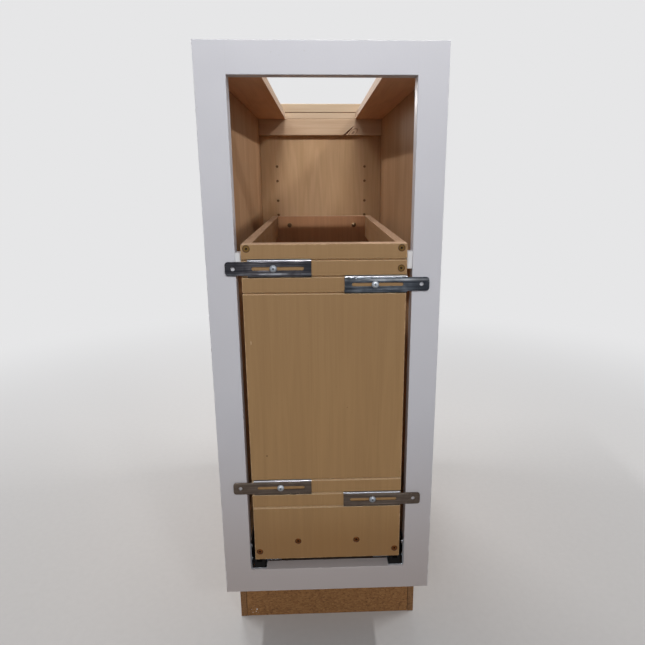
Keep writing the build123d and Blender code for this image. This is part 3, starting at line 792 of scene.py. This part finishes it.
# ---- Side guides ----
# A white nylon block is screwed to each stile and steers the pull-out between them as it closes.
def moulded_plastic(name, tone, rough, shine=0.5):
    """Moulded plastic with a fine skin and light rubbing."""
    plastic, tree, place = start_finish(name)
    marks = handled(tree, place, 0.0008)
    rubbed = tint(*[min(255, c + 16) for c in tone])
    colour = mix(tree, marks["Smudges"], tint(*tone), rubbed)
    colour = lay_over(tree, colour, marks["Scratches"], 0.5, rubbed)
    gloss = smudged(tree, marks, rough - 0.06, rough + 0.1)
    close_finish(tree, colour, cloud(tree, place, 1500.0), 0.00005, gloss, shine=shine)
    return plastic


def dress(node, finish):
    """Give a carried-over CAD node its finish."""
    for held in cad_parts[node].material_slots:
        held.material = finish


def eased_copy(node, least_length, width, segments=2):
    """A copy of a CAD node with its corners eased, but not the short edges round its holes."""
    shape = traced(node)
    ease(shape, [e for e in corners(shape) if e.calc_length() > least_length], width, segments)
    return shape


white_nylon = moulded_plastic("white_nylon", (216, 218, 221), 0.38)
for node in both("side_guide"):
    finish_node(node, eased_copy(node, 0.002, 0.0005), [white_nylon])
zinc = grey_metal("bright_zinc", ((168, 172, 178), (120, 124, 132)), 0.22, 1)
dress("guide_screws", zinc)

# ---- Slides ----
# Full-extension undermount slides of folded zinc-plated steel, with a ball cage between each two
# members, and a black plastic cap at the front of the cabinet member.
cage_plastic = moulded_plastic("cage_plastic", (196, 196, 190), 0.4)
ball_steel = grey_metal("ball_steel", ((206, 207, 210), (180, 182, 188)), 0.08)
black_plastic = moulded_plastic("black_plastic", (9, 8, 8), 0.62, 0.12)
for node in both("cabinet_slide"):
    finish_node(node, eased_copy(node, 0.004, 0.00035), [zinc])
for node in both("slide_cap"):
    finish_node(node, eased_copy(node, 0.003, 0.0006, 3), [black_plastic])
for node in (*both("board_slide"), *both("middle_slide"), "slide_screws", "board_slide_screws"):
    dress(node, zinc)
for race in ("lower", "upper"):
    for cage, balls in zip(both(f"{race}_cage"), both(f"{race}_balls")):
        dress(cage, cage_plastic)
        dress(balls, ball_steel)

# ---- Pull-out front ----
# A tall maple-veneered panel with three saw kerfs across it near the top and three near the
# bottom, which the door brackets hook into. Its edges are pale, and it is screwed to the rails.
kerf_levels = (0.2577, 0.2795, 0.3013, 0.5742, 0.5960, 0.6178)
kerf_half = 0.0016
kerf_depth = 0.0064
low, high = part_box("front_panel")
outline = [(low.y, low.z)]
for level in kerf_levels:
    foot, head, deep = level - kerf_half, level + kerf_half, low.y + kerf_depth
    outline += [(low.y, foot), (deep, foot), (deep, head), (low.y, head)]
outline += [(low.y, high.z), (high.y, high.z), (high.y, low.z)]
tall_front = bmesh.new()
face = tall_front.faces.new([tall_front.verts.new((low.x, y, z)) for y, z in outline])
grown = bmesh.ops.extrude_face_region(tall_front, geom=[face])["geom"]
grown = [v for v in grown if isinstance(v, bmesh.types.BMVert)]
bmesh.ops.translate(tall_front, vec=(high.x - low.x, 0, 0), verts=grown)
bmesh.ops.recalc_face_normals(tall_front, faces=tall_front.faces)


def at_kerf(z, reach):
    """Whether a height is within reach of one of the saw kerfs."""
    return any(abs(z - level) < kerf_half + reach for level in kerf_levels)


def in_kerf(edge):
    """Whether an edge belongs to a saw kerf."""
    return all(at_kerf(v.co.z, 1e-4) and v.co.y < low.y + kerf_depth + 1e-4 for v in edge.verts)


ease(tall_front, [e for e in corners(tall_front) if not in_kerf(e)], 0.0009, 2)
lips = [
    e for e in corners(tall_front)
    if in_kerf(e) and e.calc_length() > 0.1
    and all(abs(v.co.y - low.y) < touching for v in e.verts)
]
ease(tall_front, lips, 0.0005, 2)

front_screws = [(x, z) for x in (-0.0998, 0.0998) for z in (0.6060, 0.6323, 0.1843)]
front_screws += [(-0.043, 0.20065), (0.043, 0.20065)]
sunk_radius, sunk_foot, sunk_depth = 0.0056, 0.0024, 0.0062
drill = bmesh.new()
for x, z in front_screws:
    bmesh.ops.create_cone(
        drill, cap_ends=True, segments=28, radius1=sunk_foot, radius2=sunk_radius,
        depth=sunk_depth, matrix=Matrix.Translation((x, low.y + 0.0014, z)) @ facing_front,
    )
bmesh.ops.recalc_face_normals(drill, faces=drill.faces)
tall_front = cut(tall_front, drill)
slice_up(tall_front, low.x, high.x, 0.0018)
for vert in tall_front.verts:
    x, y, z = vert.co
    if y < low.y + 0.0008 and at_kerf(z, 0.0007) and not at_kerf(z, -0.0003):
        lip = round(z * 500)
        rough = noise.noise(Vector((x * 700, 0, lip * 3.7)))
        chip = max(0, noise.noise(Vector((x * 170, 7.3, lip * 1.9))) - 0.25)
        outward = 1 if z > min(kerf_levels, key=lambda level: abs(level - z)) else -1
        vert.co.z += outward * (rough * 0.00010 + chip * 0.0005)
        vert.co.y = max(y + abs(rough) * 0.00006, low.y)
for face in tall_front.faces:
    middle = face.calc_center_median()
    sawn = at_kerf(middle.z, 0.0009) and middle.y < low.y + kerf_depth + 0.0005
    if sawn and abs(face.normal.x) < squarely:
        flat_front = face.normal.y < -0.95 and middle.y < low.y + 0.0002
        face.material_index = 0 if flat_front and not at_kerf(middle.z, 0) else 1
    elif abs(face.normal.y) > 0.8:
        face.material_index = 0
    else:
        sunk = any(math.dist((middle.x, middle.z), spot) < sunk_radius for spot in front_screws)
        face.material_index = 3 if sunk else 2

veneer, tree, place = start_finish("maple_veneer")
wood = use(tree, timber, Vector=place, Fineness=900.0, Stretch=0.012)
marks = handled(tree, place, 0.0012)
wear = edge_wear(tree, place, low, high, 0.0016, 150.0)
height = axes(tree, place)[2]
# Painted shade: the veneer is darkened below 0.27 m, where less light falls; above that it is
# lighter below 0.60 m than at the top.
colour = mix(tree, spread(tree, height, 0.60, 0.32), tint(156, 124, 84), tint(169, 134, 90))
colour = mix(tree, spread(tree, height, 0.27, 0.19), colour, tint(153, 115, 70))
for mask, share, tone in (
    (wood["Broad"], 0.30, (150, 117, 76)), (wood["Figure"], 0.12, (132, 99, 62)),
    (wood["Lines"], 0.18, (132, 100, 62)), (wear, 0.55, (206, 172, 130)),
    (marks["Specks"], 0.30, (120, 88, 56)),
):
    colour = lay_over(tree, colour, mask, share, tint(*tone))
for spot, size, tone in (
    (Vector((-0.0838, low.y, 0.3406)), 0.0018, (96, 66, 38)),
    (Vector((0.0295, low.y, 0.4120)), 0.0011, (120, 86, 52)),
):
    knot = spread(tree, vectors(tree, "DISTANCE", place, spot), size, size * 0.4)
    colour = lay_over(tree, colour, knot, 0.75, tint(*tone))
scratch = vectors(tree, "SUBTRACT", place, Vector((-0.0989, low.y, 0.5072)))
scratch = vectors(tree, "LENGTH", vectors(tree, "MULTIPLY", scratch, (7.0, 0.0, 1.0)))
colour = mix(tree, spread(tree, scratch, 0.0034, 0.0020), colour, tint(214, 190, 156))
close_finish(tree, colour, wood["Lines"], 0.00006, smudged(tree, marks, 0.44, 0.58))


def pale_wood(name, tones, scale, grit=0.35):
    """Freshly sawn or sanded pale wood, with a furry surface."""
    sawn, tree, place = start_finish(name)
    fur = cloud(tree, mapped(tree, place, Scale=scale), 1.0, 4.0, 0.7)
    grain = spread(tree, cloud(tree, place, 340.0), 0.55, 0.8, 0.0, grit)
    light, dark = tints(tones)
    colour = mix(tree, spread(tree, fur, 0.35, 0.7), light, dark)
    colour = mix(tree, grain, colour, dark)
    close_finish(tree, colour, fur, 0.00025, 0.8, 0.6)
    return sawn


kerf_wood = pale_wood("kerf_wood", ((228, 204, 168), (206, 176, 136)), (600, 600, 1400))
edge_wood = pale_wood("edge_wood", ((206, 174, 144), (182, 146, 116)), (900, 900, 900), 0.2)
# Painted shade: the walls of the screw countersinks are painted dark reddish brown, as the
# countersinks fall dark.
countersink_shade = pale_wood("countersink_shade", ((92, 56, 34), (64, 36, 20)), (900, 900, 900), 0.2)
finish_piece(
    "pullout-front", tall_front, [veneer, kerf_wood, edge_wood, countersink_shade], ["front_panel"],
    "pullout", 40,
)

# ---- Pull-out rails, rear and bottom ----
# Solid maple side rails, an upper and a lower one on each side, run back to a rear panel notched
# for the slides. A thin bottom board lies on the slides. Top edges are sanded paler.
rail_tones = ((176, 138, 100), (164, 126, 88), (132, 94, 60))
# Painted light: the rear panel's maple is lighter and redder than the rails', for the reddish
# light bouncing inside the box.
rear_bounce_tones = ((200, 149, 107), (188, 137, 95), (152, 103, 68))
rail_top = pale_wood("sanded_top", ((190, 158, 130), (166, 132, 104)), (700, 40, 700), 0.3)
panel_top = pale_wood("sanded_top_across", ((196, 164, 136), (170, 136, 108)), (40, 700, 700), 0.3)
for node in (*both("upper_rail"), *both("lower_rail"), "rear_panel", "bottom_board"):
    low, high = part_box(node)
    is_rail, is_rear = "rail" in node, node == "rear_panel"
    part = eased_copy(node, 0.006, 0.0009 if is_rail else 0.0006)
    for face in part.faces:
        upward = face.normal.z > 0.6 and face.calc_center_median().z > high.z - 0.002
        face.material_index = int(upward and node != "bottom_board")
    tones, grain = (rear_bounce_tones, "Z") if is_rear else (rail_tones, "Y")
    wood = solid_wood(f"maple_{node}", grain, tones, low, high, 820.0, 0.14, 0.26)
    top, slot = (rail_top, "solid_maple") if is_rail else (panel_top, "maple_panel")
    finish_node(node, part, [wood, top], "pullout")
dress("frame_dowels", solid_wood("dowel_wood", "X", rail_tones, *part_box("frame_dowels")))


# ---- Screws ----
# Yellow-zinc wood screws, sunk a little below the panels' faces, and bright pan-head screws for
# the brackets. All have a cross recess.
def screw(profile, cross, top, segments=28):
    """A screw turned from half of its profile, head up, with a tapered cross recess."""
    turned = bmesh.new()
    rim = [turned.verts.new((r, 0, z)) for r, z in profile]
    line = [turned.edges.new(pair) for pair in zip(rim, rim[1:])]
    bmesh.ops.spin(
        turned, geom=rim + line, cent=(0, 0, 0), axis=(0, 0, 1), angle=2 * math.pi, steps=segments,
        use_merge=True,
    )
    bmesh.ops.remove_doubles(turned, verts=turned.verts, dist=1e-6)
    bmesh.ops.recalc_face_normals(turned, faces=turned.faces)
    length, width, depth = cross
    for wide, deep in ((length, width), (width, length)):
        blade = board(
            Vector((-wide / 2, -deep / 2, top - depth)), Vector((wide / 2, deep / 2, top + 0.002))
        )
        for vert in blade.verts:
            if vert.co.z < top:
                vert.co.x *= 0.45 if wide > width else 0.8
                vert.co.y *= 0.45 if deep > width else 0.8
        turned = cut(turned, blade)
    return turned


def set_screws(name, kind, places, finishes, crease=35):
    """Copies of a screw in the pull-out, each head at its place and facing its way."""
    template = bpy.data.meshes.new("template")
    kind.to_mesh(template)
    row = bmesh.new()
    for number, (spot, facing) in enumerate(places):
        turn = Vector(facing).to_track_quat("Z", "Y").to_matrix().to_4x4()
        twist = Matrix.Rotation(0.9 * number + 0.4, 4, "Z")
        before = len(row.verts)
        row.from_mesh(template)
        row.verts.ensure_lookup_table()
        bmesh.ops.transform(
            row, matrix=Matrix.Translation(spot) @ turn @ twist, verts=row.verts[before:]
        )
    bpy.data.meshes.remove(template)
    node = name.replace("-", "_")
    return finish_piece(name, row, finishes, [node], "pullout", crease)


def plated_screw(name, tones, recess_tone, places, rim):
    """Plated steel, with painted shade round the recess in the middle of each head."""
    metal, tree, place = start_finish(name)
    marks = handled(tree, place, 0.0006)
    flat = vectors(tree, "MULTIPLY", place, (1, 0, 1))
    nearest = None
    for spot, _ in places:
        reach = vectors(tree, "DISTANCE", flat, (spot[0], 0, spot[2]))
        nearest = reach if nearest is None else maths(tree, "MINIMUM", nearest, reach)
    light, dark = tints(tones)
    colour = mix(tree, spread(tree, marks["Smudges"], 0.35, 0.65), light, dark)
    # Painted shade round the cross recess in each head.
    painted_shade = cloud(tree, place, 900.0, 2.0)
    painted_shade = maths(tree, "MULTIPLY_ADD", painted_shade, rim * 0.5, nearest)
    colour = mix(tree, spread(tree, painted_shade, rim, rim * 0.55), colour, tint(*recess_tone))
    gloss = smudged(tree, marks, 0.36, 0.48)
    close_finish(tree, colour, cloud(tree, place, 1200.0), 0.00003, gloss, metallic=1.0)
    return metal


forward, backward = (0, -1, 0), (0, 1, 0)
head_radius, first_thread, pitch = 0.0041, -0.0050, 0.0017
wood_screw_profile = [
    (0, 0), (head_radius * 0.9, 0), (head_radius, -0.0004), (0.0020, -0.0030), (0.0014, -0.0040),
]
for thread in range(20):
    crest = first_thread - thread * pitch
    wood_screw_profile += [(0.0019, crest), (0.0013, crest - 0.0008)]
wood_screw_profile += [(0.0008, -0.0400), (0, -0.0417)]
wood_screw = screw(wood_screw_profile, (0.0046, 0.0012, 0.0022), 0)

half_way_up = 0.4
front_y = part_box("front_wood_screws")[0].y
rear_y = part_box("rear_wood_screws")[1].y
upper_front = [((x, front_y, z), forward) for x, z in front_screws if z > half_way_up]
lower_front = [((x, front_y, z), forward) for x, z in front_screws if z < half_way_up]
rear_places = [((x, rear_y, z), backward) for x, z in front_screws]
yellow_zinc = plated_screw(
    "yellow_zinc", ((130, 102, 62), (94, 70, 40)), (46, 32, 18), upper_front + lower_front, 0.0030
)
# Painted shade: the four lower screws get a darker copy of the yellow zinc, as they sit in shade
# low on the panel.
shaded_zinc = plated_screw(
    "shaded_yellow_zinc", ((122, 76, 42), (92, 56, 32)), (48, 28, 16), lower_front, 0.0026
)
rear_zinc = plated_screw(
    "rear_yellow_zinc", ((176, 142, 84), (128, 98, 52)), (62, 42, 22), rear_places, 0.0026
)
row = set_screws(
    "front-wood-screws", wood_screw, upper_front + lower_front,
    [yellow_zinc, shaded_zinc],
)
for face in row.data.polygons:
    face.material_index = int(face.center.z < half_way_up)
set_screws("rear-wood-screws", wood_screw, rear_places, [rear_zinc])

pan_radius, pan_height = 0.00475, 0.0028
pan_profile = [
    (0, pan_height), (0.0021, pan_height * 0.98), (0.0033, pan_height * 0.86),
    (0.0040, pan_height * 0.62), (0.0044, pan_height * 0.40), (pan_radius, pan_height * 0.30),
    (pan_radius, 0), (0.0020, 0), (0.0020, -0.0118), (0, -0.0128),
]
pan_screw = screw(pan_profile, (0.0042, 0.0011, 0.0018), pan_height)
bracket_levels = {
    "upper_left": 0.6069, "upper_right": 0.5851, "lower_left": 0.2904, "lower_right": 0.2686,
}
head_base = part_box("bracket_screws")[0].y + pan_height
bracket_places = [
    ((-0.066 if "left" in corner else 0.066, head_base, level), forward)
    for corner, level in bracket_levels.items()
]
inner_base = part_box("rear_panel_screws")[0].y + pan_height
inner_places = [((x, inner_base, 0.6190), forward) for x in (-0.070, 0.070)]
for name, places, finish, tones, recess_tone in (
    ("bracket-screws", bracket_places, "pan_zinc", ((196, 202, 208), (150, 156, 164)),
     (60, 64, 70)),
    ("rear-panel-screws", inner_places, "inner_zinc", ((158, 136, 106), (110, 88, 64)),
     (40, 28, 18)),
):
    pan_zinc = plated_screw(finish, tones, recess_tone, places, 0.0017)
    set_screws(name, pan_screw, places, [pan_zinc], 50)
wood_screw.free()
pan_screw.free()


# ---- Door brackets ----
# Four slotted brackets pressed from zinc-plated steel, with two long ribs and turned-back edges
# that sit in the saw kerfs. A door is screwed to the holes in their tabs.
def bracket_metal(name, tones, reflection_tone, reflection_level, dark_reflection_ends):
    """Rolled zinc plate: long soft streaks, dulled by handling, with a painted reflection band and
    dark painted reflections at the given ends.
    """
    plate, tree, place = start_finish(name)
    marks = handled(tree, place, 0.0008)
    x, _, z = axes(tree, place)
    lines = cloud(tree, mapped(tree, place, Scale=(16, 400, 900)), 1.0, 3.0)
    light, dark = tints(tones)
    colour = mix(tree, spread(tree, lines, 0.30, 0.72), dark, light)
    blotches = cloud(tree, place, 70.0, 4.0, 0.6)
    colour = mix(tree, spread(tree, blotches, 0.42, 0.70, 0.0, 0.65), colour, dark)
    across = maths(tree, "ABSOLUTE", maths(tree, "SUBTRACT", z, reflection_level))
    fade = cloud(tree, mapped(tree, place, Scale=(38, 10, 60)), 1.0)
    reflection_band = times(tree, spread(tree, across, 0.0021, 0.0004), spread(tree, fade, 0.36, 0.60))
    colour = lay_over(tree, colour, reflection_band, 0.8, tint(*reflection_tone))
    for start, stop in dark_reflection_ends:
        colour = mix(tree, spread(tree, x, start, stop, 0.0, 0.6), colour, tint(36, 38, 44))
    colour = lay_over(tree, colour, marks["Specks"], 0.5, dark)
    close_finish(tree, colour, lines, 0.00003, smudged(tree, marks, 0.20, 0.34), 0.4, 1.0)
    return plate


# Painted highlight: the upper bend of each plate gets a much lighter zinc, as it catches the light
# from above.
bend_highlight_zinc = grey_metal("bend_highlight_zinc", ((184, 185, 190), (146, 149, 156)), 0.24)
body_length, plate_back, bend_level = 0.082, 0.00145, 0.0096
rib_near, rib_far, rib_height, rib_slope = 0.0066, 0.0090, 0.00040, 0.0005
rib_start, rib_stop, slack = 0.0065, body_length - 0.0065, 0.0001
stops = [0.0050, rib_start, rib_stop, body_length - 0.0050, body_length - 0.0010,
         body_length + 0.0030]
stops += [rib_start + (rib_stop - rib_start) * n / 8 for n in range(1, 8)]
# Each plate is painted in its own light: its tones, a bright painted reflection band above or
# below its slot, and, for the upper two, dark painted reflections at the ends.
bracket_reflections = {
    "upper_left": (((100, 98, 102), (46, 45, 50)), (142, 144, 150), -0.0072),
    "upper_right": (((118, 124, 131), (52, 57, 66)), (196, 200, 206), 0.0060),
    "lower_left": (((110, 98, 89), (86, 75, 67)), (122, 111, 101), 0.0075),
    "lower_right": (((112, 100, 91), (88, 77, 69)), (124, 113, 103), 0.0075),
}
for corner, (tones, reflection_tone, reflection_rise) in bracket_reflections.items():
    node = f"{corner}_bracket"
    level = bracket_levels[corner]
    low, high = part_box(node)
    outward = -1 if "left" in corner else 1
    inner_end = high.x if "left" in corner else low.x
    shape = traced(node, False)
    for stop in stops:
        score(shape, (inner_end + outward * stop, 0, 0), (1, 0, 0))
    for rise in (rib_near, rib_near + rib_slope, rib_far - rib_slope, rib_far):
        for way in (-1, 1):
            score(shape, (0, 0, level + way * rise), (0, 0, 1))
    for vert in shape.verts:
        along, across = (vert.co.x - inner_end) * outward, abs(vert.co.z - level)
        on_rib = rib_near + rib_slope - slack < across < rib_far - rib_slope + slack
        on_rib = on_rib and rib_start - slack < along < rib_stop + slack
        if on_rib and vert.co.y < low.y + plate_back:
            vert.co.y -= rib_height
    for face in shape.faces:
        middle = face.calc_center_median()
        upper_bend = middle.z > level + bend_level and face.normal.z > 0.2
        along = (middle.x - inner_end) * outward
        face.material_index = int(upper_bend and along < body_length + 0.0002)
    dark_reflection_ends = []
    if "upper" in corner:
        tab_start = inner_end + outward * body_length
        dark_reflection_ends = [
            (inner_end + outward * 0.020, inner_end + outward * 0.005),
            (tab_start - outward * 0.004, tab_start + outward * 0.016),
        ]
    plate = bracket_metal(f"plate_{corner}", tones, reflection_tone, level + reflection_rise, dark_reflection_ends)
    body = f"{corner}_door_bracket"
    finish_node(node, shape, [plate, bend_highlight_zinc], body, 38)

# ---- Sizes ----
# The box of the dressed model, leaving out the floor.
low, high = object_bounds()
